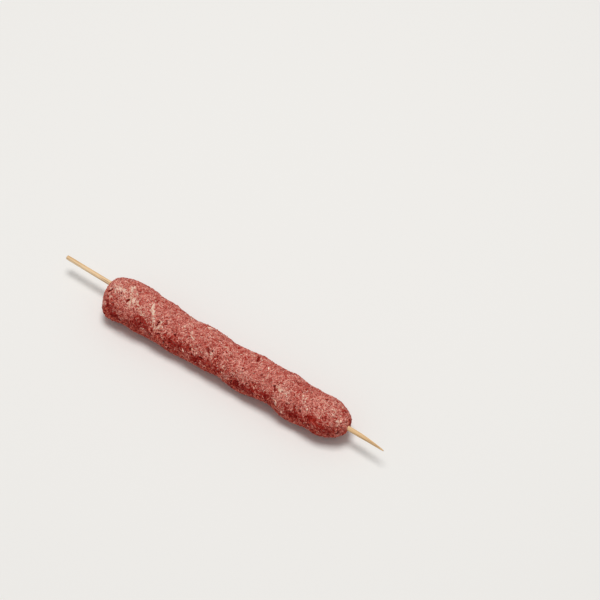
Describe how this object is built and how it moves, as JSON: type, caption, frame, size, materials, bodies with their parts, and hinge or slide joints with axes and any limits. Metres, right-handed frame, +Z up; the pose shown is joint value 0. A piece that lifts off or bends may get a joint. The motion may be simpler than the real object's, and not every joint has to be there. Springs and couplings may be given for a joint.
{
  "type": "kofta skewer",
  "caption": "Raw kofta skewer: a hand-pressed roll of minced meat around a pointed bamboo stick, lying on its side and ready to grill.",
  "frame": {"origin": "under the middle of the stick, on the surface that the meat rests on", "axes": "+X along the stick towards its sharpened tip, +Z up, -Y the side that the meat's middle leans to"},
  "size_m": [0.25, 0.0321, 0.0272],
  "materials": {
    "bamboo": "raw bamboo, smooth turned surface with fine lengthwise fibres, pale straw",
    "mince": "raw minced meat, moist satin surface of fine pressed strands in pinkish red with pale flecks of fat"
  },
  "bodies": {
    "root": {"stick": "bamboo", "meat": "mince"}
  },
  "joints": []
}
